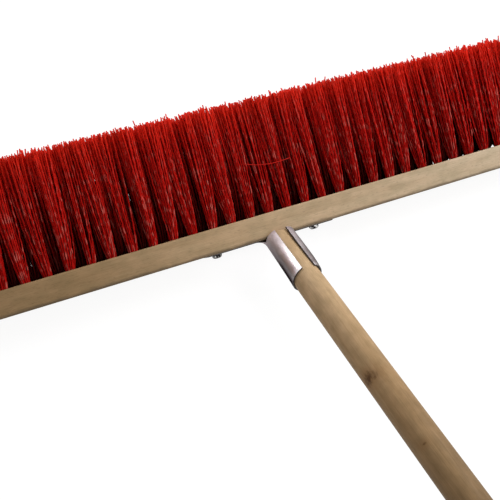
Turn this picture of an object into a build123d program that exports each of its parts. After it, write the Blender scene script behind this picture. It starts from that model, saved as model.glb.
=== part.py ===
from build123d import *
from math import asin, atan2, cos, degrees, hypot, pi, radians, sin
import os

# A street broom as it lies on the floor: the handle runs toward -Y, the bristles point up and away (+Y).
# The far back edge of the block and the grip end of the handle touch the floor at Z = 0.

# Block: a planed board, drilled for the tufts
block_length = 800
block_width = 66
block_thickness = 25
block_corner_radius = 10
back_arris_radius = 3
face_arris_radius = 1.5

# Tufts: rows of drilled holes, alternate rows shifted by half a pitch
tuft_pitch = 20.5
tuft_end_margin = 10
row_count = 5
row_pitch = 12.5
tuft_hole_radius = 4.2
tuft_hole_depth = 17
tuft_clearance = 0.1
bristle_length = 115
strands_per_tuft = 2
strand_root_half_width = 1.4
strand_root_offset = 2.2
strand_tip_half_width = 2.2
strand_tip_offset = 6

# Slice of the block's face that joins the tufts of one row
slice_thickness = 2
slice_margin = 0.5

# Wire anchors that pin each folded tuft to the bottom of its hole
anchor_height = 2.2
anchor_thickness = 0.5
anchor_clearance = 0.05

# Handle: a round rod with a rounded grip end and a slightly thinner spigot in the socket
handle_radius = 14
handle_length = 1400
handle_end_radius = 10
handle_chamfer = 1
handle_angle = 42
spigot_step = 0.3
spigot_clearance = 0.05
spigot_margin = 1

# Socket: one pressing of steel sheet, a split tube on a screwed flange
sheet = 1.5
tube_length = 61
tube_slot_width = 7
socket_setback = 1.5
socket_rise = 3.2
flange_end_margin = 14.6
flange_width = 32
flange_setback = 18
flange_corner_radius = 2
neck_foot_width = 37
neck_sheet = 1.2
neck_lap = 0.4

# Round-headed wood screws through the flange. They stand in the wood between the tuft holes,
# so their places are in tuft pitches from the middle and in row pitches past the middle row
screw_bay = 2.75
screw_row = 0.5
screw_shank_radius = 2.2
screw_shank_length = 20
screw_point_length = 5
screw_head_radius = 5
screw_head_height = 3.2
screw_slot_width = 1.2
screw_slot_depth = 1.3
screw_clearance = 0.3
pilot_clearance = 0.05
pilot_spare_depth = 1

os.makedirs("parts", exist_ok=True)


def write_piece(piece, name):
    """Labels a finished piece and writes its file."""
    piece.part.label = name
    export_step(piece.part, f"parts/{name}.step")


# The pose on the floor. In the head's own frame x runs along the block, y from the handle's side
# to the far side, and z from the back face to the bristle tips.
spigot_radius = handle_radius - spigot_step
bore_radius = spigot_radius + spigot_clearance
tube_radius = bore_radius + sheet
socket_y = socket_setback - block_width / 2
angle = radians(handle_angle)
reach = block_width / 2 - back_arris_radius - socket_y
drop = back_arris_radius + socket_rise
lift = reach * sin(angle) - drop * cos(angle) - handle_radius
run = reach * cos(angle) + drop * sin(angle) + handle_length - handle_end_radius
handle_fall = atan2(lift, run) + asin(back_arris_radius / hypot(lift, run))
lean = angle - handle_fall

rear_row_y = (row_count - 1) / 2 * row_pitch
tip_z = block_thickness + bristle_length
rear_tip_y = rear_row_y + strand_tip_offset + strand_tip_half_width
far_end = rear_tip_y * cos(lean) + tip_z * sin(lean)
grip_end = socket_y * cos(lean) - socket_rise * sin(lean) - handle_length * cos(handle_fall)
head_y = -(far_end + grip_end) / 2
arris_drop = block_width / 2 - back_arris_radius
head_z = arris_drop * sin(lean) - back_arris_radius * cos(lean) + back_arris_radius

head = Plane((0, head_y, head_z), x_dir=(1, 0, 0), z_dir=(0, sin(lean), cos(lean)))
socket_point = head.from_local_coords(Vector(0, socket_y, -socket_rise))
rod = Plane(socket_point, x_dir=(1, 0, 0), z_dir=(0, -cos(handle_fall), -sin(handle_fall)))
back_face = Plane(head.origin, x_dir=(1, 0, 0), z_dir=-head.z_dir)
bristle_face = head.offset(block_thickness)
away_from_back = Axis(head.origin, head.z_dir)
along_handle = Axis(rod.origin, rod.z_dir)

flange_y = flange_setback + flange_width / 2 - block_width / 2
screw_x = screw_bay * tuft_pitch
screw_y = (row_count // 2 - (row_count - 1) / 2 + screw_row) * row_pitch
screw_places = [(-screw_x, screw_y), (screw_x, screw_y)]
flange_length = 2 * (screw_x + flange_end_margin)
slice_width = 2 * (tuft_hole_radius + slice_margin)
long_row_count = 1 + int((block_length - 2 * tuft_end_margin) / tuft_pitch)


def row_tufts(row):
    """Returns the places of one row's tufts on the bristle face; every second row has one tuft fewer."""
    count = long_row_count - row % 2
    y = (row - (row_count - 1) / 2) * row_pitch
    return [((i - (count - 1) / 2) * tuft_pitch, y) for i in range(count)]


def row_slice(row):
    """Returns the length of the slice that joins one row's tufts."""
    return (len(row_tufts(row)) - 1) * tuft_pitch + slice_width


# Block
with BuildPart() as block:
    with BuildSketch(head):
        RectangleRounded(block_length, block_width, block_corner_radius)
    extrude(amount=block_thickness)
    fillet(block.faces().sort_by(away_from_back)[0].edges(), back_arris_radius)
    fillet(block.faces().sort_by(away_from_back)[-1].edges(), face_arris_radius)
    with BuildSketch(bristle_face):
        for row in range(row_count):
            with Locations((0, row_tufts(row)[0][1])):
                SlotOverall(row_slice(row), slice_width)
    extrude(amount=-slice_thickness, mode=Mode.SUBTRACT)
    with BuildSketch(bristle_face):
        for row in range(row_count):
            with Locations(*row_tufts(row)):
                Circle(tuft_hole_radius)
    extrude(amount=-tuft_hole_depth, mode=Mode.SUBTRACT)
    with BuildSketch(head):
        with Locations(*screw_places):
            Circle(screw_shank_radius + pilot_clearance)
    extrude(amount=screw_shank_length - sheet + pilot_spare_depth, mode=Mode.SUBTRACT)
write_piece(block, "block")

# Neck of the socket: the sheet, drawn a little thinner, flares from the far half of the tube's rim
# to the flange's front edge
neck_foot_y = flange_width / 2 - sheet - flange_y
with BuildLine(rod.offset(neck_lap)) as neck_rim:
    CenterArc((0, 0), bore_radius + sheet / 2, 180, 180)
with BuildLine(back_face.offset(sheet / 2)) as neck_foot:
    Line((-neck_foot_width / 2, neck_foot_y), (neck_foot_width / 2, neck_foot_y))
with BuildPart() as neck:
    neck_surface = Face.make_surface_from_curves(neck_rim.edge(), neck_foot.edge())
    thicken(neck_surface, amount=neck_sheet / 2, both=True)
    with BuildSketch(rod):
        Circle(bore_radius + sheet / 2)
    extrude(amount=tube_length, mode=Mode.SUBTRACT)

# Socket: flange, split tube and neck are one pressing
with BuildPart() as socket:
    with BuildSketch(head):
        with Locations((0, flange_y)):
            RectangleRounded(flange_length, flange_width, flange_corner_radius)
    extrude(amount=-sheet)
    with BuildSketch(rod):
        Circle(tube_radius)
        Circle(bore_radius, mode=Mode.SUBTRACT)
        with Locations((0, tube_radius)):
            Rectangle(tube_slot_width, 2 * tube_radius, mode=Mode.SUBTRACT)
    extrude(amount=tube_length)
    add(neck.part)
    with BuildSketch(head):
        with Locations(*screw_places):
            Circle(screw_shank_radius + screw_clearance)
    extrude(amount=-sheet, mode=Mode.SUBTRACT)
write_piece(socket, "handle_socket")

# Screws: dome head, shank and point, each turned about its own axis through the flange
with BuildPart() as screws:
    for x, y in screw_places:
        seat = head.from_local_coords(Vector(x, y, -sheet))
        with BuildSketch(Plane(seat, x_dir=head.x_dir, z_dir=-head.y_dir)):
            with BuildLine():
                Polyline(
                    (0, -screw_head_height),
                    (0, screw_shank_length),
                    (screw_shank_radius, screw_shank_length - screw_point_length),
                    (screw_shank_radius, 0),
                    (screw_head_radius, 0),
                )
                EllipticalCenterArc(
                    (0, 0), screw_head_radius, screw_head_height, start_angle=-90, arc_size=90
                )
            make_face()
        revolve(axis=Axis(seat, head.z_dir))
    with BuildSketch(head.offset(-sheet - screw_head_height)):
        with Locations(*screw_places):
            Rectangle(2 * screw_head_radius, screw_slot_width)
    extrude(amount=screw_slot_depth, mode=Mode.SUBTRACT)
write_piece(screws, "screws")

# Handle
with BuildPart() as handle:
    spigot_length = tube_length + spigot_margin
    with BuildSketch(rod):
        Circle(spigot_radius)
    extrude(amount=spigot_length)
    chamfer(handle.faces().sort_by(along_handle)[0].edges(), handle_chamfer)
    with BuildSketch(rod.offset(spigot_length)):
        Circle(handle_radius)
    extrude(amount=handle_length - spigot_length)
    fillet(handle.faces().sort_by(along_handle)[-1].edges(), handle_end_radius)
write_piece(handle, "handle")


def strand_ring(place, turn, offset, half_width, z):
    """Returns one four-sided section of a strand, offset from its tuft's centre in the direction turn."""
    corners = [
        (-half_width, -half_width),
        (half_width, -half_width),
        (half_width, half_width),
        (-half_width, half_width),
    ]
    points = []
    for along, across in corners:
        x = place[0] + (offset + along) * cos(turn) - across * sin(turn)
        y = place[1] + (offset + along) * sin(turn) + across * cos(turn)
        points.append(head.from_local_coords(Vector(x, y, z)))
    return Wire.make_polygon(points)


def tuft_strands(place, first_turn):
    """Returns the strands of one tuft, spreading from the slice to the tips."""
    root_z = block_thickness - slice_thickness / 2
    strands = []
    for i in range(strands_per_tuft):
        turn = first_turn + 2 * pi * i / strands_per_tuft
        root = strand_ring(place, turn, strand_root_offset, strand_root_half_width, root_z)
        tip = strand_ring(place, turn, strand_tip_offset, strand_tip_half_width, tip_z)
        strands.append(Solid.make_loft([root, tip], ruled=True))
    return strands


# Tuft rows: strands on their slice of the block's face, with the folded roots in the drilled holes,
# and the wire anchors under the roots
anchor_length = 2 * (tuft_hole_radius - tuft_clearance)
for row in range(row_count):
    tufts = row_tufts(row)
    strands = []
    for i, tuft in enumerate(tufts):
        strands += tuft_strands(tuft, pi / strands_per_tuft if i % 2 else 0)
    with BuildPart() as tuft_row:
        with BuildSketch(bristle_face):
            with Locations((0, tufts[0][1])):
                SlotOverall(row_slice(row) - 2 * tuft_clearance, slice_width - 2 * tuft_clearance)
        extrude(amount=-slice_thickness)
        with BuildSketch(bristle_face.offset(-slice_thickness)):
            with Locations(*tufts):
                Circle(tuft_hole_radius - tuft_clearance)
        extrude(amount=slice_thickness - tuft_hole_depth)
        with BuildSketch(bristle_face.offset(-tuft_hole_depth)):
            with Locations(*tufts):
                Rectangle(2 * tuft_hole_radius, anchor_thickness + 2 * anchor_clearance)
        extrude(amount=anchor_height + anchor_clearance, mode=Mode.SUBTRACT)
        add(strands)
    write_piece(tuft_row, f"tuft_row_{row + 1}")
    with BuildPart() as anchors:
        with BuildSketch(bristle_face.offset(-tuft_hole_depth)):
            with Locations(*tufts):
                Rectangle(anchor_length, anchor_thickness)
        extrude(amount=anchor_height)
    write_piece(anchors, f"tuft_anchors_{row + 1}")

print("handle falls", round(degrees(handle_fall), 3), "deg to the grip end")
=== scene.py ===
import math

import bmesh
import bpy
from mathutils import Matrix, Vector


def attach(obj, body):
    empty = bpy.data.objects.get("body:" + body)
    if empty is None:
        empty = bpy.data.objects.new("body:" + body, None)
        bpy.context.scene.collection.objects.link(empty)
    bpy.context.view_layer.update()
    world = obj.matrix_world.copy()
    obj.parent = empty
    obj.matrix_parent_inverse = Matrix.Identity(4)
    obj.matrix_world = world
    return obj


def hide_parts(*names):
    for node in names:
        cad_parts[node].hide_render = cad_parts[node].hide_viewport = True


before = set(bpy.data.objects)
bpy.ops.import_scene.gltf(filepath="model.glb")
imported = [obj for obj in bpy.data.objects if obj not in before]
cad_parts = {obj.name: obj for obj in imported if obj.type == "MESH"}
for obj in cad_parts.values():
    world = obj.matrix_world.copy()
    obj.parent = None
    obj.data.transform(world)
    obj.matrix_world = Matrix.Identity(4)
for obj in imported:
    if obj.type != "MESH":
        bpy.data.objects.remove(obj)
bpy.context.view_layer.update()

# Block
# A planed beech board with rounded edges. Its flat face is drilled for the tufts and its back for two
# screws. The broom lies on the far back edge of the board, so the whole head leans away from the handle.
head_lean = math.radians(40.9836)
back_middle = (0, 0.654389, 0.0204106)
head_place = Matrix.Translation(back_middle) @ Matrix.Rotation(-head_lean, 4, "X")
block_length = 0.800
block_width = 0.066
block_thickness = 0.025
block_corner = 0.010
back_arris = 0.003
face_arris = 0.0015
arris_steps = 6
tuft_pitch = 0.0205
tuft_rows = 5
row_pitch = 0.0125
long_row_tufts = 39
tuft_hole_radius = 0.0042
tuft_hole_depth = 0.017
screw_place = (0.056375, 0.00625)
pilot_radius = 0.00225
pilot_depth = 0.0195
hole_sides = 24


def put(tree, kind, inputs=None, **settings):
    """Adds a node to a tree; an input is given a value or another node's output."""
    node = tree.nodes.new(kind)
    for name, value in settings.items():
        setattr(node, name, value)
    for key, value in (inputs or {}).items():
        if isinstance(value, bpy.types.NodeSocket):
            tree.links.new(value, node.inputs[key])
        else:
            node.inputs[key].default_value = value
    return node


def maths(tree, operation, *values):
    """Adds a Math node and returns its result."""
    return put(tree, "ShaderNodeMath", dict(enumerate(values)), operation=operation).outputs[0]


def vector(tree, x=0.0, y=0.0, z=0.0):
    """Adds a Combine XYZ node and returns its vector."""
    return put(tree, "ShaderNodeCombineXYZ", {"X": x, "Y": y, "Z": z}).outputs[0]


def vector_maths(tree, operation, *values, out=0):
    """Adds a Vector Math node and returns its result."""
    return put(tree, "ShaderNodeVectorMath", dict(enumerate(values)), operation=operation).outputs[out]


def new_tree(name, inputs, outputs=(("Geometry", "Geometry"),)):
    """Starts a Geometry Nodes tree and returns it with its named input sockets and its output node."""
    tree = bpy.data.node_groups.new(name, "GeometryNodeTree")
    for label, kind in inputs:
        tree.interface.new_socket(label, in_out="INPUT", socket_type="NodeSocket" + kind)
    for label, kind in outputs:
        tree.interface.new_socket(label, in_out="OUTPUT", socket_type="NodeSocket" + kind)
    given = tree.nodes.new("NodeGroupInput").outputs
    return tree, {label: given[label] for label, kind in inputs}, tree.nodes.new("NodeGroupOutput")


def keep(tree, geometry, **values):
    """Stores values on the points, and returns the geometry and the stored values."""
    node = put(tree, "GeometryNodeCaptureAttribute")
    for name, value in values.items():
        node.capture_items.new("VECTOR" if value.type == "VECTOR" else "FLOAT", name)
    tree.links.new(geometry, node.inputs[0])
    for i, value in enumerate(values.values()):
        tree.links.new(value, node.inputs[i + 1])
    return [node.outputs[i] for i in range(len(values) + 1)]


def mirrored_pair(tree, place):
    """Returns two points: one at the place, and one mirrored to the other side of the handle."""
    offset = vector_maths(tree, "MULTIPLY", place, (-2.0, 0.0, 0.0))
    return put(tree, "GeometryNodeMeshLine", {
        "Count": 2, "Start Location": place, "Offset": offset}).outputs[0]


def cut_away(tree, solid, cutter):
    """Returns a solid with the shape of the cutter taken out of it."""
    return put(tree, "GeometryNodeMeshBoolean", {0: solid, 1: cutter},
               operation="DIFFERENCE", solver="MANIFOLD").outputs[0]


def finish_tree(tree, geometry, material, out):
    """Ends a tree: its instances are made real, and the whole gets its material."""
    whole = put(tree, "GeometryNodeRealizeInstances", {"Geometry": geometry})
    finished = put(tree, "GeometryNodeSetMaterial", {"Geometry": whole.outputs[0], "Material": material})
    tree.links.new(finished.outputs[0], out.inputs[0])


def add_object(name, data):
    """Adds an object with the given data to the scene."""
    made = bpy.data.objects.new(name, data)
    bpy.context.scene.collection.objects.link(made)
    return made


def make_plain(piece, place):
    """Turns a piece with modifiers into a plain mesh of the same name, and moves that to its place."""
    graph = bpy.context.evaluated_depsgraph_get()
    made = bpy.data.meshes.new_from_object(
        piece.evaluated_get(graph), preserve_all_data_layers=True, depsgraph=graph)
    piece.modifiers.clear()
    piece.data = made
    made.name = piece.name
    made.transform(place)


def bake(name, tree, values, mesh, place):
    """Runs a tree once on a mesh, and returns the result as a new piece in its place."""
    piece = add_object(name, mesh)
    modifier = piece.modifiers.new(tree.name, "NODES")
    modifier.node_group = tree
    for item in tree.interface.items_tree:
        if item.in_out == "INPUT" and item.name in values:
            modifier[item.identifier] = values[item.name]
    make_plain(piece, place)
    return piece


def smooth(mesh, angle):
    """Shades a mesh smooth, with an edge wherever two faces meet at more than the angle in degrees."""
    mesh.polygons.foreach_set("use_smooth", [True] * len(mesh.polygons))
    mesh.set_sharp_from_angle(angle=math.radians(angle))


def skin_rings(solid, rings):
    """Joins rings of points into a closed skin and returns its faces."""
    faces = []
    for low, high in zip(rings, rings[1:]):
        for i in range(len(low)):
            j = (i + 1) % len(low)
            faces.append(solid.faces.new((low[i], low[j], high[j], high[i])))
    faces.append(solid.faces.new(reversed(rings[0])))
    faces.append(solid.faces.new(rings[-1]))
    return faces


def mesh_of(solid, name):
    """Returns a finished shape as a mesh."""
    mesh = bpy.data.meshes.new(name)
    solid.to_mesh(mesh)
    solid.free()
    return mesh


def board_mesh():
    """Returns the undrilled board: rings of a rounded rectangle, drawn in along both arrises."""
    turns = [math.pi / 2 * i / arris_steps for i in range(arris_steps + 1)]
    profile = [(back_arris * (1 - math.sin(turn)), back_arris * (1 - math.cos(turn))) for turn in turns]
    for turn in turns:
        profile.append((face_arris * (1 - math.cos(turn)),
                        block_thickness - face_arris * (1 - math.sin(turn))))
    corners = [(1, 1, 0), (-1, 1, math.pi / 2), (-1, -1, math.pi), (1, -1, 3 * math.pi / 2)]
    board = bmesh.new()
    rings = []
    for inset, height in profile:
        ring = []
        for side_x, side_y, first_turn in corners:
            middle_x = side_x * (block_length / 2 - block_corner)
            middle_y = side_y * (block_width / 2 - block_corner)
            for turn in turns:
                x = middle_x + (block_corner - inset) * math.cos(first_turn + turn)
                y = middle_y + (block_corner - inset) * math.sin(first_turn + turn)
                ring.append(board.verts.new((x, y, height)))
        rings.append(ring)
    skin_rings(board, rings)
    return mesh_of(board, "board")


# The staggered places of the tufts on the board's face. Every second row is shifted by half a pitch and
# is one tuft short.
lattice_inputs = [("Long row tufts", "Int"), ("Rows", "Int"), ("Tuft pitch", "Float"), ("Row pitch", "Float")]
lattice_values = {
    "Long row tufts": long_row_tufts, "Rows": tuft_rows, "Tuft pitch": tuft_pitch, "Row pitch": row_pitch}
lattice, given, out = new_tree("tuft places", lattice_inputs, [("Geometry", "Geometry"), ("Row", "Int")])
index = put(lattice, "GeometryNodeInputIndex").outputs[0]
row = maths(lattice, "MODULO", index, given["Rows"])
column = maths(lattice, "FLOOR", maths(lattice, "DIVIDE", maths(lattice, "ADD", index, 0.5), given["Rows"]))
shifted = maths(lattice, "MODULO", row, 2.0)
half_row = maths(lattice, "DIVIDE", maths(lattice, "SUBTRACT", given["Long row tufts"], 1.0), 2.0)
half_rows = maths(lattice, "DIVIDE", maths(lattice, "SUBTRACT", given["Rows"], 1.0), 2.0)
half_shift = maths(lattice, "DIVIDE", shifted, 2.0)
steps_x = maths(lattice, "ADD", maths(lattice, "SUBTRACT", column, half_row), half_shift)
place_x = maths(lattice, "MULTIPLY", steps_x, given["Tuft pitch"])
place_y = maths(lattice, "MULTIPLY", maths(lattice, "SUBTRACT", row, half_rows), given["Row pitch"])
last = maths(lattice, "SUBTRACT", given["Long row tufts"], 1.5)
surplus = maths(lattice, "MULTIPLY", shifted, maths(lattice, "GREATER_THAN", column, last))
grid = put(lattice, "GeometryNodeMeshGrid", {
    "Vertices X": given["Long row tufts"], "Vertices Y": given["Rows"]})
points = put(lattice, "GeometryNodeMeshToPoints", {"Mesh": grid.outputs["Mesh"]})
numbered, row_kept, surplus_kept = keep(lattice, points.outputs[0], row=row, surplus=surplus)
spread = put(lattice, "GeometryNodeSetPosition", {
    "Geometry": numbered, "Position": vector(lattice, place_x, place_y)})
trimmed = put(lattice, "GeometryNodeDeleteGeometry", {
    "Geometry": spread.outputs[0], "Selection": surplus_kept}, domain="POINT")
lattice.links.new(trimmed.outputs[0], out.inputs["Geometry"])
lattice.links.new(row_kept, out.inputs["Row"])


def tuft_places(tree, given):
    """Adds the places of the tufts to a tree that has the same inputs, and returns their node."""
    inputs = {label: given[label] for label, kind in lattice_inputs}
    return put(tree, "GeometryNodeGroup", inputs, node_tree=lattice)


# Drilling: one flat-bottomed hole for each tuft in the face, and a pilot hole for each screw in the back.
drill, given, out = new_tree("drilled board", [("Geometry", "Geometry")] + lattice_inputs + [
    ("Face height", "Float"), ("Hole radius", "Float"), ("Hole depth", "Float"), ("Pilot place", "Vector"),
    ("Pilot radius", "Float"), ("Pilot depth", "Float"), ("Wood", "Material")])


def drill_bit(radius, depth):
    """Returns a round cutter that reaches as far as the depth on both sides of its middle."""
    length = maths(drill, "MULTIPLY", depth, 2.0)
    return put(drill, "GeometryNodeMeshCylinder", {
        "Vertices": hole_sides, "Radius": radius, "Depth": length}).outputs["Mesh"]


at_face = put(drill, "GeometryNodeTransform", {
    "Geometry": drill_bit(given["Hole radius"], given["Hole depth"]),
    "Translation": vector(drill, z=given["Face height"])})
holes = put(drill, "GeometryNodeInstanceOnPoints", {
    "Points": tuft_places(drill, given).outputs["Geometry"], "Instance": at_face.outputs[0]})
pilots = put(drill, "GeometryNodeInstanceOnPoints", {
    "Points": mirrored_pair(drill, given["Pilot place"]),
    "Instance": drill_bit(given["Pilot radius"], given["Pilot depth"])})
cutters = put(drill, "GeometryNodeJoinGeometry")
drill.links.new(holes.outputs[0], cutters.inputs[0])
drill.links.new(pilots.outputs[0], cutters.inputs[0])
solid_cutters = put(drill, "GeometryNodeRealizeInstances", {"Geometry": cutters.outputs[0]})
finish_tree(drill, cut_away(drill, given["Geometry"], solid_cutters.outputs[0]), given["Wood"], out)


def new_material(name, constants=None):
    """Starts a material and returns it with its tree and its shader, on which the constants are set."""
    material = bpy.data.materials.new(name)
    material.use_nodes = True
    shader = material.node_tree.nodes["Principled BSDF"]
    for socket, value in (constants or {}).items():
        shader.inputs[socket].default_value = value
    return material, material.node_tree, shader


def pattern_place(tree, place, size):
    """Returns Object coordinates laid along a piece; a pattern's unit is as long as size on each axis."""
    return put(tree, "ShaderNodeMapping", {
        "Vector": put(tree, "ShaderNodeTexCoord").outputs["Object"], "Location": place.to_translation(),
        "Rotation": place.to_euler(), "Scale": size}, vector_type="TEXTURE").outputs[0]


def noise(tree, place, detail, roughness=0.5, distortion=0.0):
    """Adds a noise at the given coordinates and returns its value."""
    return put(tree, "ShaderNodeTexNoise", {
        "Vector": place, "Scale": 1.0, "Detail": detail, "Roughness": roughness,
        "Distortion": distortion}).outputs[0]


def fade(tree, value, start, end, first, last):
    """Returns first where a value is at its start, last where it is at its end, and a blend between."""
    return put(tree, "ShaderNodeMapRange", {
        "Value": value, "From Min": start, "From Max": end, "To Min": first, "To Max": last}).outputs[0]


def ramp(tree, value, stops):
    """Adds a colour ramp with the given (position, colour) stops and returns its colour."""
    node = put(tree, "ShaderNodeValToRGB", {"Fac": value})
    node.color_ramp.elements.remove(node.color_ramp.elements[-1])
    for i, (position, colour) in enumerate(stops):
        stop = node.color_ramp.elements[0] if i == 0 else node.color_ramp.elements.new(position)
        stop.position = position
        stop.color = (*colour, 1)
    return node.outputs["Color"]


def mixed(tree, share, a, b, blend="MIX"):
    """Adds a colour mix of a and b and returns its colour."""
    return put(tree, "ShaderNodeMix", {0: share, 6: a, 7: b}, data_type="RGBA", blend_type=blend).outputs[2]


def tinted(tree, colour, shade):
    """Returns a colour multiplied by a shade."""
    return mixed(tree, 1.0, colour, shade, "MULTIPLY")


def bump(tree, shader, height, strength, distance):
    """Gives a shader a fine relief."""
    relief = put(tree, "ShaderNodeBump", {"Strength": strength, "Distance": distance, "Height": height})
    tree.links.new(relief.outputs[0], shader.inputs["Normal"])


# Lengths of the beech's growth bands, fibres and ray flecks, along the grain and across it.
band_size = (0.10, 0.009)
fibre_size = (0.03, 0.0006)
fleck_size = (0.0045, 0.0007)
fleck_darkness = 0.55


def beech(name, place, grain_axis, pale, dark, fleck_share):
    """Starts dry, slightly rough beech; returns the material, its tree, its shader and its plain colour."""
    material, tree, shader = new_material(name, {"Specular IOR Level": 0.3})

    def laid(length, across):
        size = [across] * 3
        size[grain_axis] = length
        return pattern_place(tree, place, size)

    bands = noise(tree, laid(*band_size), detail=3.0, roughness=0.55, distortion=0.6)
    fibres = noise(tree, laid(*fibre_size), detail=2.0, roughness=0.6)
    flecks = noise(tree, laid(*fleck_size), detail=0.0)
    band_colour = ramp(tree, bands, [(0.3, dark), (0.7, pale)])
    fibre_shade = ramp(tree, fibres, [(0.3, (0.84, 0.82, 0.79)), (0.7, (1.0, 1.0, 1.0))])
    flecked = fade(tree, flecks, 0.66, 0.74, 0.0, fleck_share)
    fleck_colour = [fleck_darkness * channel for channel in dark]
    colour = mixed(tree, flecked, tinted(tree, band_colour, fibre_shade), (*fleck_colour, 1))
    tree.links.new(fade(tree, fibres, 0.3, 0.7, 0.72, 0.55), shader.inputs["Roughness"])
    bump(tree, shader, fibres, strength=0.25, distance=0.0004)
    return material, tree, shader, colour


# The board is painted darker and browner toward its left end and paler toward its right one, as painted
# light and shade where the lamp's light falls off toward the left. Painted shade lies in a ragged band along
# both back arrises.
block_painted_falloff = [
    (0.05, (0.52, 0.46, 0.35)), (0.26, (0.69, 0.64, 0.54)), (0.42, (1.0, 1.0, 1.0)),
    (0.95, (0.965, 1.12, 1.37))]
block_mottle = [(0.35, (0.89, 0.91, 0.88)), (0.65, (1.07, 1.06, 1.06))]
block_blotch_size = (0.016, 0.010, 0.010)
ragged_noise_size = (0.014, 0.004, 0.004)
ragged_reach = 0.004
arris_shade_band = (0.0035, 0.0060)
arris_shade_share = 0.62
painted_shade_colour = (0.10, 0.075, 0.045, 1)
block_wood, tree, shader, plain_colour = beech(
    "planed beech", head_place, grain_axis=0, pale=(0.60, 0.415, 0.245), dark=(0.50, 0.335, 0.185),
    fleck_share=0.42)
on_block = put(tree, "ShaderNodeSeparateXYZ", {"Vector": pattern_place(tree, head_place, (1, 1, 1))}).outputs
along_block = maths(tree, "ADD", maths(tree, "DIVIDE", on_block["X"], block_length), 0.5)
blotches = noise(tree, pattern_place(tree, head_place, block_blotch_size), detail=3.0)
# Painted light and shade: the board darkens toward its left end, where the light falls off.
painted_falloff_colour = tinted(tree, plain_colour, ramp(tree, along_block, block_painted_falloff))
block_colour = tinted(tree, painted_falloff_colour, ramp(tree, blotches, block_mottle))
# Painted shade: a ragged dark band along both back arrises, which turn away from the light.
from_side = maths(tree, "SUBTRACT", maths(tree, "ABSOLUTE", on_block["Y"]), block_width / 2)
from_arris = vector_maths(tree, "LENGTH", vector(tree, from_side, on_block["Z"]), out=1)
ragged_noise = noise(tree, pattern_place(tree, head_place, ragged_noise_size), detail=2.0)
ragged = maths(tree, "MULTIPLY_ADD", ragged_noise, ragged_reach, from_arris)
arris_shade = fade(tree, ragged, *arris_shade_band, arris_shade_share, 0.0)
tree.links.new(mixed(tree, arris_shade, block_colour, painted_shade_colour), shader.inputs["Base Color"])
block = bake("drilled_block", drill, lattice_values | {
    "Face height": block_thickness, "Hole radius": tuft_hole_radius, "Hole depth": tuft_hole_depth,
    "Pilot place": (*screw_place, 0), "Pilot radius": pilot_radius, "Pilot depth": pilot_depth,
    "Wood": block_wood}, board_mesh(), head_place)
smooth(block.data, angle=30)
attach(block, "head")
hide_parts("block")

# Tuft anchors
# Short flat pieces of drawn steel wire. One lies under the fold of each tuft and is driven into the bottom
# of its hole, so that it pins the tuft there.
streak_size = (0.004, 0.0003, 0.0003)


def metal(name, place, size, detail, stops, metallic, roughness):
    """Returns a metal whose colour follows a noise of the given size."""
    material, tree, shader = new_material(name, {"Metallic": metallic, "Roughness": roughness})
    colour = ramp(tree, noise(tree, pattern_place(tree, place, size), detail), stops)
    tree.links.new(colour, shader.inputs["Base Color"])
    return material


anchor_wire = metal(
    "drawn anchor wire", head_place, streak_size, detail=2.0,
    stops=[(0.3, (0.30, 0.30, 0.31)), (0.7, (0.50, 0.50, 0.50))], metallic=1.0, roughness=0.35)
for number in range(1, tuft_rows + 1):
    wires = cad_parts[f"tuft_anchors_{number}"]
    wires.data.materials.clear()
    wires.data.materials.append(anchor_wire)

# Bristles
# Stiff red plastic filaments, crimped and cut to length. Each tuft is a bundle folded over its anchor in a
# drilled hole, so it leaves the block as a tight round bundle and fans out until the tufts run together at
# the tips.
row_sizes = {
    "Face height": block_thickness, "Root depth": 0.008, "Bristle length": 0.1165, "Bundle radius": 0.0040,
    "Tip jitter": 0.0022, "Tuft lean": 0.0040, "Tuft set": 0.0025, "Bow": 0.0022, "Crimp": 0.00036,
    "Crimp length": 0.0119, "Raggedness": 0.0016, "Stray share": 0.045, "Stray length": 0.0050,
    "Stray sway": 0.0060}
# A tuft of the inner rows has more and thicker filaments, which fan out sooner.
outer_row = {
    "Filaments": 26, "Filament segments": 31, "Filament radius": 0.00074, "Tip radius": 0.0105,
    "Flare shape": 0.60, "Inside": 0.0}
inner_row = {
    "Filaments": 33, "Filament segments": 24, "Filament radius": 0.00083, "Tip radius": 0.0136,
    "Flare shape": 0.26, "Inside": 1.0}
filament_sides = 3
golden_angle = math.pi * (3 - math.sqrt(5))
cut_evenness = 2.5
stray_lengths = (0.2, 1.0)
root_depths = (0.4, 1.0)
crimp_onset = 6.0
unshaded_end_tufts = 2.0
row_seed = 100

row_inputs = []
for label, value in (row_sizes | outer_row).items():
    row_inputs.append((label, "Int" if isinstance(value, int) else "Float"))
fan, given, out = new_tree("tuft row", lattice_inputs + row_inputs + [
    ("Row", "Int"), ("Seed", "Int"), ("Plastic", "Material")])


def scaled(tree, direction, amount):
    """Adds a Vector Math node that scales a vector by a number and returns its result."""
    inputs = {"Vector": direction, "Scale": amount}
    return put(tree, "ShaderNodeVectorMath", inputs, operation="SCALE").outputs[0]


def chance(low, high, number, key):
    """Returns a random number from low to high for each point; number keeps the draws apart."""
    seed = maths(fan, "ADD", given["Seed"], float(number))
    inputs = {2: low, 3: high, "ID": key, "Seed": seed}
    return put(fan, "FunctionNodeRandomValue", inputs, data_type="FLOAT").outputs[1]


def sway(amount, number, key):
    """Returns a random flat vector whose sides run from minus the amount to the amount."""
    x = maths(fan, "MULTIPLY", chance(-1.0, 1.0, number, key), amount)
    y = maths(fan, "MULTIPLY", chance(-1.0, 1.0, number + 1, key), amount)
    return vector(fan, x, y)


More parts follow.
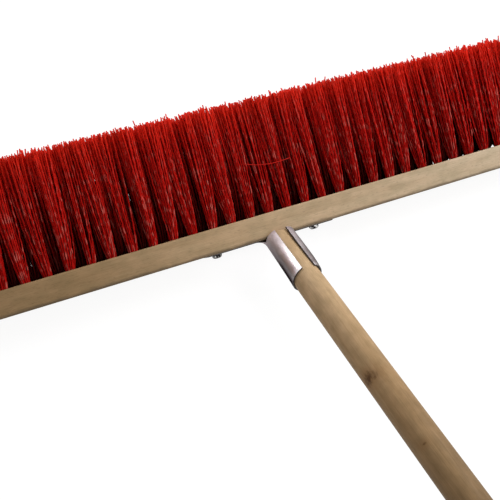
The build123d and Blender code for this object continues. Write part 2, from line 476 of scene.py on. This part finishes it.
# The tufts of one row, each with its place, its lean, its first turn and its tone.
tufts = tuft_places(fan, given)
in_row = put(fan, "FunctionNodeCompare", {"A": tufts.outputs["Row"], "B": given["Row"]},
             data_type="INT", operation="EQUAL")
own = put(fan, "GeometryNodeSeparateGeometry", {
    "Geometry": tufts.outputs[0], "Selection": in_row.outputs[0]}, domain="POINT")
tuft_index = put(fan, "GeometryNodeInputIndex").outputs[0]
places, centre, tuft_lean, first_turn, tuft_tone = keep(
    fan, own.outputs[0],
    centre=put(fan, "GeometryNodeInputPosition").outputs[0],
    lean=vector_maths(fan, "ADD", sway(given["Tuft lean"], 1, tuft_index), vector(fan, given["Tuft set"])),
    turn=chance(0.0, 2 * math.pi, 3, tuft_index),
    tone=chance(0.0, 1.0, 4, tuft_index))

# The filaments of each tuft, set round its middle like the seeds of a sunflower. The tufts at the ends of an
# inner row get none of the painted shade that darkens the roots of the inner rows.
copies = put(fan, "GeometryNodeDuplicateElements", {
    "Geometry": places, "Amount": given["Filaments"]}, domain="POINT")
number = copies.outputs["Duplicate Index"]
key = put(fan, "GeometryNodeInputIndex").outputs[0]
turn = maths(fan, "ADD", maths(fan, "MULTIPLY", number, golden_angle), first_turn)
share = maths(fan, "SQRT", maths(fan, "DIVIDE", maths(fan, "ADD", number, 0.5), given["Filaments"]))
outward = vector(fan, maths(fan, "COSINE", turn), maths(fan, "SINE", turn))
from_centre = maths(fan, "MULTIPLY", share, given["Bundle radius"])
flare = maths(fan, "MULTIPLY", share, maths(fan, "SUBTRACT", given["Tip radius"], given["Bundle radius"]))
splay = vector_maths(fan, "ADD", scaled(fan, outward, flare), sway(given["Tip jitter"], 11, key))
cut_short = maths(fan, "POWER", chance(0.0, 1.0, 13, key), cut_evenness)
cut_length = maths(fan, "SUBTRACT", given["Bristle length"],
                   maths(fan, "MULTIPLY", cut_short, given["Raggedness"]))
stray = maths(fan, "LESS_THAN", chance(0.0, 1.0, 19, key), given["Stray share"])
overlong = maths(fan, "MULTIPLY", maths(fan, "MULTIPLY", stray, given["Stray length"]),
                 chance(*stray_lengths, 20, key))
loose = sway(maths(fan, "MULTIPLY", stray, given["Stray sway"]), 21, key)
crimp_turn = chance(0.0, 2 * math.pi, 14, key)
half_row = maths(fan, "DIVIDE", maths(fan, "SUBTRACT", given["Long row tufts"], 1.0), 2.0)
end_x = maths(fan, "MULTIPLY", half_row, given["Tuft pitch"])
tuft_x = maths(fan, "ABSOLUTE", put(fan, "ShaderNodeSeparateXYZ", {"Vector": centre}).outputs["X"])
unshaded_length = maths(fan, "MULTIPLY", given["Tuft pitch"], unshaded_end_tufts)
from_end = maths(fan, "DIVIDE", maths(fan, "SUBTRACT", end_x, tuft_x), unshaded_length)
hidden = maths(fan, "MINIMUM", maths(fan, "MAXIMUM", from_end, 0.0), 1.0)
strands, root, splay, length, sunk, bow, crimp_side, phase, tone, shaded = keep(
    fan, copies.outputs["Geometry"],
    root=vector_maths(fan, "ADD", centre, scaled(fan, outward, from_centre)),
    splay=vector_maths(fan, "ADD", splay, tuft_lean),
    length=maths(fan, "ADD", cut_length, overlong),
    sunk=maths(fan, "MULTIPLY", given["Root depth"], chance(*root_depths, 23, key)),
    bow=vector_maths(fan, "ADD", sway(given["Bow"], 15, key), loose),
    side=vector(fan, maths(fan, "COSINE", crimp_turn), maths(fan, "SINE", crimp_turn)),
    phase=chance(0.0, 2 * math.pi, 17, key),
    tone=maths(fan, "ADD", maths(fan, "MULTIPLY", tuft_tone, 0.5), chance(0.0, 0.5, 18, key)),
    shaded=maths(fan, "MULTIPLY", given["Inside"], hidden))

# Each filament is a thin tube along a line that splays, bows and ripples from its sunk root to its tip.
line = put(fan, "GeometryNodeCurvePrimitiveLine", {"End": (0, 0, 1)})
fine_line = put(fan, "GeometryNodeResampleCurve", {
    "Curve": line.outputs[0], "Count": maths(fan, "ADD", given["Filament segments"], 1.0)})
planted = put(fan, "GeometryNodeInstanceOnPoints", {"Points": strands, "Instance": fine_line.outputs[0]})
curves = put(fan, "GeometryNodeRealizeInstances", {"Geometry": planted.outputs[0]})
along = put(fan, "GeometryNodeSplineParameter").outputs["Factor"]
full_length = maths(fan, "ADD", length, sunk)
height = maths(fan, "SUBTRACT", maths(fan, "MULTIPLY", along, full_length), sunk)
free = maths(fan, "DIVIDE", maths(fan, "MAXIMUM", height, 0.0), length)
fanned = maths(fan, "POWER", free, given["Flare shape"])
arch = maths(fan, "MULTIPLY", maths(fan, "MULTIPLY", free, maths(fan, "SUBTRACT", 1.0, free)), 4.0)
crimps = maths(fan, "DIVIDE", height, given["Crimp length"])
wave = maths(fan, "SINE", maths(fan, "ADD", phase, maths(fan, "MULTIPLY", crimps, 2 * math.pi)))
ripple = maths(fan, "MULTIPLY", maths(fan, "MULTIPLY", wave, given["Crimp"]),
               maths(fan, "MINIMUM", maths(fan, "MULTIPLY", free, crimp_onset), 1.0))
place = vector_maths(fan, "ADD", root, vector(fan, z=maths(fan, "ADD", height, given["Face height"])))
for direction, amount in [(splay, fanned), (bow, arch), (crimp_side, ripple)]:
    place = vector_maths(fan, "ADD", place, scaled(fan, direction, amount))
drawn = put(fan, "GeometryNodeSetPosition", {"Geometry": curves.outputs[0], "Position": place})
for name, value in [("along", free), ("tone", tone), ("inside", shaded)]:
    drawn = put(fan, "GeometryNodeStoreNamedAttribute", {
        "Geometry": drawn.outputs[0], "Name": name, "Value": value}, data_type="FLOAT", domain="POINT")
section = put(fan, "GeometryNodeCurvePrimitiveCircle", {
    "Resolution": filament_sides, "Radius": given["Filament radius"]})
tubes = put(fan, "GeometryNodeCurveToMesh", {
    "Curve": drawn.outputs[0], "Profile Curve": section.outputs[0], "Fill Caps": True})
finish_tree(fan, tubes.outputs[0], given["Plastic"], out)

# The plastic is painted brighter toward the tips, as painted light shining through them, and darker toward
# the roots, as painted shade; the roots of the inner rows get deeper painted shade. Pale streaks of painted
# highlight lie along the filaments, fewer of them near the tips.
crimp_angle = 96.0
crimp_scatter = 120.0
glint_streaks = 13.0
glint_scatter = 400.0
painted_glint_colour = (0.68, 0.17, 0.135, 1)
red_plastic, tree, shader = new_material("red filament", {
    "Roughness": 0.45, "Specular IOR Level": 0.06, "Specular Tint": (1.0, 0.45, 0.40, 1.0)})
height_share = put(tree, "ShaderNodeAttribute", attribute_name="along").outputs["Fac"]
strand_tone = put(tree, "ShaderNodeAttribute", attribute_name="tone").outputs["Fac"]
inside = put(tree, "ShaderNodeAttribute", attribute_name="inside").outputs["Fac"]
# Painted light toward the tips and painted shade toward the roots.
painted_light_lengthwise = ramp(tree, height_share, [
    (0.0, (0.48, 0.007, 0.005)), (0.35, (0.54, 0.009, 0.006)), (0.75, (0.64, 0.013, 0.008)),
    (1.0, (0.90, 0.028, 0.012))])
strand_shade = ramp(tree, strand_tone, [(0.1, (0.80, 0.80, 0.80)), (0.9, (1.0, 1.0, 1.0))])
# Painted shade for the roots of the inner rows.
painted_depth_shade = ramp(tree, height_share, [
    (0.0, (0.12, 0.12, 0.12)), (0.35, (0.40, 0.40, 0.40)), (0.7, (1.0, 1.0, 1.0))])
# Pale streaks of painted highlight, for light glinting on the crimped filaments.
glint_place = vector(tree, maths(tree, "MULTIPLY", height_share, glint_streaks),
                     maths(tree, "MULTIPLY", strand_tone, glint_scatter))
glinted = fade(tree, noise(tree, glint_place, detail=1.0), 0.54, 0.70, 0.0, 0.66)
below_tips = fade(tree, height_share, 0.45, 0.95, 1.0, 0.15)
painted_glints = maths(tree, "MULTIPLY", glinted, below_tips)
strand_colour = mixed(tree, painted_glints, tinted(tree, painted_light_lengthwise, strand_shade), painted_glint_colour)
strand_colour = mixed(tree, inside, strand_colour, tinted(tree, strand_colour, painted_depth_shade))
tree.links.new(strand_colour, shader.inputs["Base Color"])
crimp_wave = maths(tree, "SINE", maths(tree, "ADD", maths(tree, "MULTIPLY", height_share, crimp_angle),
                                       maths(tree, "MULTIPLY", strand_tone, crimp_scatter)))
bump(tree, shader, crimp_wave, strength=0.8, distance=0.0004)

# One strand has come out of its tuft. It lies across the front of the near row, with both ends caught
# between tufts.
loose_radius = 0.0004
loose_sides = 5
loose_steps = 6
loose_path = [
    (-0.0185, -0.0270, 0.0797), (-0.0134, -0.0343, 0.0776), (-0.0018, -0.0352, 0.0738),
    (0.0115, -0.0352, 0.0718), (0.0225, -0.0350, 0.0715), (0.0330, -0.0340, 0.0722),
    (0.0385, -0.0270, 0.0728)]
loose_look = {"along": 0.60, "tone": 0.9, "inside": 0.0}


def add_loose_strand(mesh):
    """Adds the loose strand to the mesh of a row: a thin tube along a smooth line through its path."""
    points = [head_place @ Vector(point) for point in loose_path]
    line = points[:1]
    for before, start, end, after in zip(points, points[1:], points[2:], points[3:]):
        for step in range(loose_steps):
            t = step / loose_steps
            line.append(0.5 * (
                2 * start + (end - before) * t + (2 * before - 5 * start + 4 * end - after) * t ** 2
                + (3 * start - before - 3 * end + after) * t ** 3))
    line += points[-2:]
    strand = bmesh.new()
    strand.from_mesh(mesh)
    layers = {strand.verts.layers.float[name]: value for name, value in loose_look.items()}
    rings = []
    for i, point in enumerate(line):
        heading = (line[min(i + 1, len(line) - 1)] - line[max(i - 1, 0)]).normalized()
        side = heading.cross(Vector((0, 0, 1))).normalized()
        rise = side.cross(heading)
        ring = []
        for j in range(loose_sides):
            turn = 2 * math.pi * j / loose_sides
            vertex = strand.verts.new(point + loose_radius * (math.cos(turn) * side + math.sin(turn) * rise))
            for layer, value in layers.items():
                vertex[layer] = value
            ring.append(vertex)
        rings.append(ring)
    bmesh.ops.recalc_face_normals(strand, faces=skin_rings(strand, rings))
    strand.to_mesh(mesh)
    strand.free()


for number in range(tuft_rows):
    own_sizes = outer_row if number in (0, tuft_rows - 1) else inner_row
    name = f"bristle_row_{number + 1}"
    tuft_row = bake(name, fan, lattice_values | row_sizes | own_sizes | {
        "Row": number, "Seed": row_seed * (number + 1), "Plastic": red_plastic},
        bpy.data.meshes.new(name), head_place)
    if number == 0:
        add_loose_strand(tuft_row.data)
    smooth(tuft_row.data, angle=180)
    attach(tuft_row, "head")
    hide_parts(f"tuft_row_{number + 1}")

# Handle socket
# One pressing of bright zinc-plated steel sheet: a split tube that grips the handle, a neck that flares from
# it, and a flange that is screwed to the block's back. The tube's right-hand wing is bent up off the handle.
rod_fall = math.radians(1.01638)
rod_foot = (0, 0.628511, 0.038654)
rod_place = Matrix.Translation(rod_foot) @ Matrix.Rotation(math.pi / 2 + rod_fall, 4, "X")
socket_place = head_place.inverted() @ rod_place
sheet = 0.0015
tube_length = 0.061
tube_middle = 0.0145
tube_taper = 0.0012
slot_left = math.radians(110)
slot_right = math.radians(420)
wing_turns = (math.radians(285), math.radians(372))
wing_lift = 0.0024
wing_press = 0.8
press_power = 6
curl_start = math.radians(395)
curl_share = 0.85
mouth_flare = 0.0005
flare_power = 4
mouth_slant = 0.0020
slant_turn = math.radians(20)
tube_steps = (10, 26, 10)
tube_rows = 10
neck_rows = 7
neck_foot_half = 0.0185
neck_lead = (0.0022, 0.0030)
neck_trail = (0.0030, 0.0010)
flange_half = (0.070975, 0.016)
flange_middle_y = 0.001
flange_corner = 0.0020
corner_share = 0.3
flange_stations = (0.058, 0.045, 0.032, 0.024)
edge_round = 0.00022
edge_angle = math.radians(50)


def eased(value, low, high):
    """Returns 0 below low, 1 above high and a smooth rise between them."""
    share = min(max((value - low) / (high - low), 0.0), 1.0)
    return share * share * (3 - 2 * share)


def tube_point(turn, along):
    """Returns a point of the split tube's sheet, which is drawn in toward the block."""
    wing = eased(turn, *wing_turns)
    curl = curl_share * eased(turn, curl_start, slot_right)
    lift = wing_lift * (1 - wing_press * along ** press_power)
    taper = tube_taper * (1 - along) * (1 - wing)
    radius = tube_middle + lift * (wing - curl) - taper + mouth_flare * along ** flare_power
    length = tube_length + mouth_slant * max(-math.cos(turn - slant_turn), 0.0)
    return socket_place @ Vector((radius * math.cos(turn), radius * math.sin(turn), length * along))


def flange_point(x, y):
    """Returns a point of the flange's sheet, drawn in where it would lie outside a rounded corner."""
    past_x = max(abs(x) - flange_half[0] + flange_corner, 0.0)
    past_y = max(abs(y) - flange_half[1] + flange_corner, 0.0)
    reach = math.hypot(past_x, past_y)
    pull = 1 - flange_corner / reach if reach > flange_corner else 0.0
    x -= math.copysign(past_x * pull, x)
    y -= math.copysign(past_y * pull, y)
    return x, flange_middle_y + y, -sheet / 2


def skin_rows(surface, rows):
    """Joins rows of points into an open surface."""
    for low, high in zip(rows, rows[1:]):
        for i in range(len(low) - 1):
            surface.faces.new((low[i], low[i + 1], high[i + 1], high[i]))


def pressed_sheet():
    """Returns the middle of the sheet as one surface: the split tube, the neck and the flange."""
    surface = bmesh.new()
    left, neck, right = tube_steps
    turns = [slot_left + (math.pi - slot_left) * i / left for i in range(left)]
    turns += [math.pi + math.pi * i / neck for i in range(neck)]
    turns += [2 * math.pi + (slot_right - 2 * math.pi) * i / right for i in range(right + 1)]
    tube = []
    for j in range(tube_rows + 1):
        tube.append([surface.verts.new(tube_point(turn, j / tube_rows)) for turn in turns])
    skin_rows(surface, tube)

    half_x, half_y = flange_half
    toward_block = -(socket_place.to_3x3() @ Vector((0, 0, 1)))
    rim = tube[0][left:left + neck + 1]
    foot = []
    for i in range(neck + 1):
        foot_x = neck_foot_half * (2 * i / neck - 1)
        foot.append(surface.verts.new((foot_x, flange_middle_y - half_y, -sheet / 2)))
    bends = []
    for i in range(neck + 1):
        bulge = math.sin(math.pi * i / neck)
        lead = rim[i].co + toward_block * (neck_lead[0] + neck_lead[1] * bulge)
        trail = foot[i].co - Vector((0, neck_trail[0] + neck_trail[1] * bulge, 0))
        bends.append((rim[i].co, lead, trail, foot[i].co))
    loft = [rim]
    for k in range(1, neck_rows):
        t = k / neck_rows
        loft.append([surface.verts.new(
            (1 - t) ** 3 * a + 3 * t * (1 - t) ** 2 * b + 3 * t * t * (1 - t) * c + t ** 3 * d)
            for a, b, c, d in bends])
    loft.append(foot)
    skin_rows(surface, loft[::-1])

    side = [half_x, half_x - flange_corner * corner_share, half_x - flange_corner, *flange_stations]
    across = [-x for x in side] + [vertex.co.x for vertex in foot] + side[::-1]
    near = [-half_y, flange_corner * corner_share - half_y, flange_corner - half_y]
    depth = near + [0.0] + [-y for y in near[::-1]]
    plate = []
    for j, y in enumerate(depth):
        row = []
        for i, x in enumerate(across):
            on_foot = j == 0 and len(side) <= i < len(side) + len(foot)
            row.append(foot[i - len(side)] if on_foot else surface.verts.new(flange_point(x, y)))
        plate.append(row)
    skin_rows(surface, plate[::-1])
    bmesh.ops.recalc_face_normals(surface, faces=surface.faces)
    return mesh_of(surface, "socket sheet")


# The plating is painted dark low on the left toward the mouth and on the right-hand wing, as painted
# shade and dark reflection. Toward the block it is painted a little darker, which dims its highlight, and
# it is rougher.
blush_size = (0.012, 0.012, 0.02)
drag_size = (0.0005, 0.0005, 0.03)
shear_size = (0.0008, 0.0008, 0.0008)
tube_unit = (0.015, 0.015, 0.015)
painted_dark_colour = (0.070, 0.056, 0.058, 1)
zinc_steel, tree, shader = new_material("bright zinc on pressed steel", {
    "Metallic": 1.0, "Specular Tint": (0.10, 0.085, 0.085, 1.0)})
blush = noise(tree, pattern_place(tree, rod_place, blush_size), detail=4.0, roughness=0.6)
drag = noise(tree, pattern_place(tree, rod_place, drag_size), detail=2.0)
on_socket = put(tree, "ShaderNodeSeparateXYZ", {"Vector": pattern_place(tree, rod_place, tube_unit)}).outputs
low_side = fade(tree, on_socket["Y"], 0.0, 0.80, 1.0, 0.0)
on_left = fade(tree, on_socket["X"], -0.70, -0.35, 1.0, 0.0)
on_wing = fade(tree, on_socket["X"], 0.4, 1.1, 0.0, 0.55)
on_tube = fade(tree, on_socket["Z"], -0.45, 0.0, 0.3, 1.0)
toward_mouth = fade(tree, on_socket["Z"], 0.0, 2.6, 0.0, 1.0)
left_share = fade(tree, toward_mouth, 0.0, 1.0, 0.05, 1.0)
painted_dark_left = maths(tree, "MULTIPLY", maths(tree, "MULTIPLY", low_side, on_left), left_share)
painted_dark_share = maths(tree, "MULTIPLY", on_tube, maths(tree, "MAXIMUM", painted_dark_left, on_wing))
zinc_colour = ramp(tree, blush, [(0.35, (0.50, 0.46, 0.47)), (0.65, (0.72, 0.69, 0.70))])
painted_dim_near_block = ramp(tree, toward_mouth, [(0.0, (0.85, 0.782, 0.7905)), (0.8, (1.0, 1.0, 1.0))])
# Painted shade and dark reflection low on the left and on the wing; painted dimming toward the block.
zinc_colour = mixed(tree, painted_dark_share, tinted(tree, zinc_colour, painted_dim_near_block), painted_dark_colour)
tree.links.new(zinc_colour, shader.inputs["Base Color"])
dragged = fade(tree, drag, 0.3, 0.7, 0.34, 0.46)
matt = fade(tree, toward_mouth, 0.0, 1.0, 0.25, 0.0)
tree.links.new(maths(tree, "ADD", dragged, matt), shader.inputs["Roughness"])
bump(tree, shader, drag, strength=0.1, distance=0.0003)
# The cut edges are bare steel, and are painted near black as painted shade on the sheet's thickness.
cut_edge = metal(
    "sheared steel edge", rod_place, shear_size, detail=3.0,
    stops=[(0.35, (0.035, 0.030, 0.030)), (0.7, (0.14, 0.125, 0.12))], metallic=0.6, roughness=0.55)

socket = add_object("split_socket", pressed_sheet())
socket.data.materials.append(zinc_steel)
socket.data.materials.append(cut_edge)
thick = socket.modifiers.new("sheet", "SOLIDIFY")
thick.thickness = sheet
thick.offset = 0.0
thick.use_even_offset = True
thick.material_offset_rim = 1
edges = socket.modifiers.new("edges", "BEVEL")
edges.width = edge_round
edges.segments = 2
edges.limit_method = "ANGLE"
edges.angle_limit = edge_angle
make_plain(socket, head_place)
smooth(socket.data, angle=40)
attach(socket, "head")
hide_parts("handle_socket")

# Screws
# Two slotted round-head wood screws of zinc-plated steel, painted dark as painted shade under the block,
# with random pale patches as painted highlights. They are driven through the ends of the flange into the
# pilot holes, and hold it to the block.
screw_head = (0.0054, 0.0044)
head_fullness = 0.70
dome_angles = range(2, 89, 6)
screw_shank = (0.0022, 0.0200)
screw_point = 0.0050
screw_tip = 0.0002
screw_slot = (0.0012, 0.0013)
screw_sides = 32
screw_turn = 0.5
turn_between = 1.9
screw_patch_size = (0.0026, 0.0026, 0.0026)


def turned(profile, sides, name):
    """Returns a mesh of rings about the z axis through a (radius, height) profile, closed at both ends."""
    lathe = bmesh.new()
    turns = [2 * math.pi * i / sides for i in range(sides)]
    rings = []
    for radius, height in profile:
        ring = [(radius * math.cos(turn), radius * math.sin(turn), height) for turn in turns]
        rings.append([lathe.verts.new(point) for point in ring])
    skin_rings(lathe, rings)
    return mesh_of(lathe, name)


screw_profile = []
for degrees in dome_angles:
    angle = math.radians(degrees)
    screw_profile.append((screw_head[0] * math.sin(angle) ** head_fullness,
                          -screw_head[1] * math.cos(angle) ** head_fullness))
screw_profile += [
    (screw_head[0], 0.0), (screw_shank[0], 0.0), (screw_shank[0], screw_shank[1] - screw_point),
    (screw_tip, screw_shank[1])]

screw_tree, given, out = new_tree("screw pair", [
    ("Geometry", "Geometry"), ("Screw place", "Vector"), ("Slot size", "Vector"), ("Slot place", "Vector"),
    ("First turn", "Float"), ("Turn between", "Float"), ("Steel", "Material")])
slot_block = put(screw_tree, "GeometryNodeMeshCube", {"Size": given["Slot size"]})
slot_cut = put(screw_tree, "GeometryNodeTransform", {
    "Geometry": slot_block.outputs[0], "Translation": given["Slot place"]})
screw_index = put(screw_tree, "GeometryNodeInputIndex").outputs[0]
further = maths(screw_tree, "MULTIPLY", screw_index, given["Turn between"])
driven = put(screw_tree, "GeometryNodeInstanceOnPoints", {
    "Points": mirrored_pair(screw_tree, given["Screw place"]),
    "Instance": cut_away(screw_tree, given["Geometry"], slot_cut.outputs[0]),
    "Rotation": vector(screw_tree, z=maths(screw_tree, "ADD", further, given["First turn"]))})
finish_tree(screw_tree, driven.outputs[0], given["Steel"], out)

# Painted shade darkens the screws; random pale patches stand for painted highlights.
screw_steel_painted = metal(
    "screw zinc with painted shade", head_place, screw_patch_size, detail=2.0,
    stops=[(0.53, (0.022, 0.020, 0.019)), (0.67, (0.66, 0.65, 0.63))], metallic=1.0, roughness=0.34)
screws = bake("flange_screws", screw_tree, {
    "Screw place": (*screw_place, -sheet), "Slot place": (0, 0, -screw_head[1]),
    "Slot size": (3 * screw_head[0], screw_slot[0], 2 * screw_slot[1]), "First turn": screw_turn,
    "Turn between": turn_between, "Steel": screw_steel_painted},
    turned(screw_profile, screw_sides, "screw"), head_place)
smooth(screws.data, angle=32)
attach(screws, "head")
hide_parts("screws")

# Handle
# A turned and sanded hardwood rod. One end tapers a little and is driven into the split tube, which grips
# it; the grip end is rounded.
handle_radius = 0.014
handle_length = 1.400
handle_end_radius = 0.010
spigot_radius = 0.0125
spigot_length = 0.072
handle_chamfer = 0.001
handle_sides = 64
rod_steps = 24
end_steps = 10

rod_profile = [
    (spigot_radius - handle_chamfer, 0), (spigot_radius, handle_chamfer), (handle_radius, spigot_length)]
straight_length = handle_length - handle_end_radius - spigot_length
for i in range(1, rod_steps + 1):
    rod_profile.append((handle_radius, spigot_length + straight_length * i / rod_steps))
for i in range(1, end_steps + 1):
    turn = math.pi / 2 * i / end_steps
    rod_profile.append((handle_radius - handle_end_radius * (1 - math.cos(turn)),
                        handle_length - handle_end_radius * (1 - math.sin(turn))))

# The wood is painted darker away from the socket, as painted shade where the light falls off: darkest about
# a quarter of the way along and lighter again toward the grip. It has two knots, each with a middle, the
# radius of its dark heart, the reach of its stain and a strength.
handle_painted_falloff = [
    (0.06, (1.0, 1.0, 1.0)), (0.20, (0.65, 0.59, 0.495)), (0.35, (0.295, 0.25, 0.175)),
    (0.60, (0.50, 0.45, 0.38)), (1.0, (0.80, 0.77, 0.71))]
handle_mottle = [(0.35, (0.88, 0.87, 0.84)), (0.65, (1.09, 1.08, 1.09))]
handle_blotch_size = (0.007, 0.007, 0.014)
knots = [
    ((-0.0122, 0.0066, 0.1950), 0.0056, 0.0150, 0.97),
    ((-0.0087, 0.0110, 0.2678), 0.0015, 0.0060, 0.75)]
knot_squeeze = (0.75, 0.75, 1.0)
knot_ripple_size = (0.0034, 0.0034, 0.0055)
knot_raggedness = 1.9
heart_start = 0.3
stain_start = 0.8
stain_share = 0.65
heart_colour = (0.070, 0.024, 0.0, 1)
stain_colour = (0.21, 0.105, 0.034, 1)
handle_wood, tree, shader, plain_colour = beech(
    "turned handle wood", rod_place, grain_axis=2, pale=(0.62, 0.44, 0.255), dark=(0.51, 0.345, 0.185),
    fleck_share=0.12)
on_rod = pattern_place(tree, rod_place, (1, 1, 1))
along_rod = put(tree, "ShaderNodeSeparateXYZ", {"Vector": on_rod}).outputs["Z"]
blotches = noise(tree, pattern_place(tree, rod_place, handle_blotch_size), detail=3.0)
# Painted shade along the handle, where the light falls off away from the socket.
painted_falloff_colour = tinted(tree, plain_colour, ramp(tree, along_rod, handle_painted_falloff))
handle_colour = tinted(tree, painted_falloff_colour, ramp(tree, blotches, handle_mottle))
ripples = noise(tree, pattern_place(tree, rod_place, knot_ripple_size), detail=3.0)
wobble = maths(tree, "SUBTRACT", ripples, 0.5)
for centre, core, halo, strength in knots:
    offset = vector_maths(tree, "MULTIPLY", vector_maths(tree, "SUBTRACT", on_rod, centre), knot_squeeze)
    distance = maths(tree, "ADD", vector_maths(tree, "LENGTH", offset, out=1),
                     maths(tree, "MULTIPLY", wobble, knot_raggedness * core))
    stain = fade(tree, distance, stain_start * core, halo, stain_share * strength, 0.0)
    heart = fade(tree, distance, heart_start * core, core, strength, 0.0)
    handle_colour = mixed(tree, stain, handle_colour, stain_colour)
    handle_colour = mixed(tree, heart, handle_colour, heart_colour)
tree.links.new(handle_colour, shader.inputs["Base Color"])
handle = add_object("turned_handle", turned(rod_profile, handle_sides, "turned_handle"))
handle.data.transform(rod_place)
handle.data.materials.append(handle_wood)
smooth(handle.data, angle=40)
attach(handle, "handle")
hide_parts("handle")

# Studio
# A plain white floor that keeps a faint shadow, and a weak pale surround. A large soft lamp hangs to the
# right of the head, with smaller ones in front of it, behind it and over the grip.
floor_half = 12.0
floor_bounce = (0.45, 0.45, 0.45, 1)
floor_shadow = (0.16, 0.16, 0.16, 1)
floor_glow = 0.92
white = (1, 1, 1, 1)
surround_light = 0.28
surround_shown = 0.97


def seen_share(tree):
    """Returns 1 for the rays that show the background itself: to the camera, in metal and through glass."""
    path = put(tree, "ShaderNodeLightPath").outputs
    seen = maths(tree, "ADD", path["Is Camera Ray"], path["Is Glossy Ray"])
    return maths(tree, "MINIMUM", maths(tree, "ADD", seen, path["Is Transmission Ray"]), 1.0)


floor_corners = [(x * floor_half, y * floor_half, 0) for x, y in [(-1, -1), (1, -1), (1, 1), (-1, 1)]]
floor_mesh = bpy.data.meshes.new("floor")
floor_mesh.from_pydata(floor_corners, [], [(0, 1, 2, 3)])
paper, tree, shader = new_material("white paper")
tree.nodes.remove(shader)
bounce = put(tree, "ShaderNodeBsdfDiffuse", {"Color": floor_bounce})
shadow = put(tree, "ShaderNodeBsdfDiffuse", {"Color": floor_shadow})
glow = put(tree, "ShaderNodeEmission", {"Color": white, "Strength": floor_glow})
shown = put(tree, "ShaderNodeAddShader", {0: shadow.outputs[0], 1: glow.outputs[0]})
surface = put(tree, "ShaderNodeMixShader", {0: seen_share(tree), 1: bounce.outputs[0], 2: shown.outputs[0]})
tree.links.new(surface.outputs[0], tree.nodes["Material Output"].inputs["Surface"])
floor_mesh.materials.append(paper)
floor = add_object("floor", floor_mesh)

world = bpy.data.worlds.new("pale surround")
bpy.context.scene.world = world
world.use_nodes = True
tree = world.node_tree
weak = tree.nodes["Background"]
weak.inputs["Color"].default_value = white
weak.inputs["Strength"].default_value = surround_light
bright = put(tree, "ShaderNodeBackground", {"Color": white, "Strength": surround_shown})
surround = put(tree, "ShaderNodeMixShader", {0: seen_share(tree), 1: weak.outputs[0], 2: bright.outputs[0]})
tree.links.new(surround.outputs[0], tree.nodes["World Output"].inputs["Surface"])


def soft_lamp(name, place, target, size, power):
    """Hangs a square lamp at a place, turned to the target."""
    lamp = bpy.data.lights.new(name, "AREA")
    lamp.shape = "SQUARE"
    lamp.size = size
    lamp.energy = power
    hung = add_object(name, lamp)
    hung.location = place
    hung.rotation_mode = "QUATERNION"
    hung.rotation_quaternion = (Vector(target) - Vector(place)).to_track_quat("-Z", "Y")


soft_lamp("key_lamp", place=(0.90, 0.50, 0.80), target=(0.15, 0.60, 0.05), size=0.7, power=9.4)
soft_lamp("fill_lamp", place=(0.40, 0.10, 0.60), target=(0.20, 0.60, 0.05), size=0.4, power=0.8)
soft_lamp("back_lamp", place=(-0.40, 1.45, 0.78), target=(0.0, 0.59, 0.05), size=0.6, power=6.0)
soft_lamp("grip_lamp", place=(0.05, -0.62, 0.85), target=(0.0, -0.70, 0.03), size=0.6, power=4.2)

camera_place = (-0.2589, 0.1111, 0.5294)
camera_right = (0.9114, -0.4114, -0.0117)
camera_forward = (0.3027, 0.6893, -0.6582)
camera_data = bpy.data.cameras.new("photo_camera")
camera_data.sensor_width = 36.0
camera_data.lens = 54.18
camera = add_object("photo_camera", camera_data)
forward = Vector(camera_forward).normalized()
up = Vector(camera_right).normalized().cross(forward).normalized()
right = forward.cross(up)
camera.matrix_world = Matrix.Translation(camera_place) @ Matrix((right, up, -forward)).transposed().to_4x4()
bpy.context.scene.camera = camera
bpy.context.scene.view_settings.view_transform = "Standard"
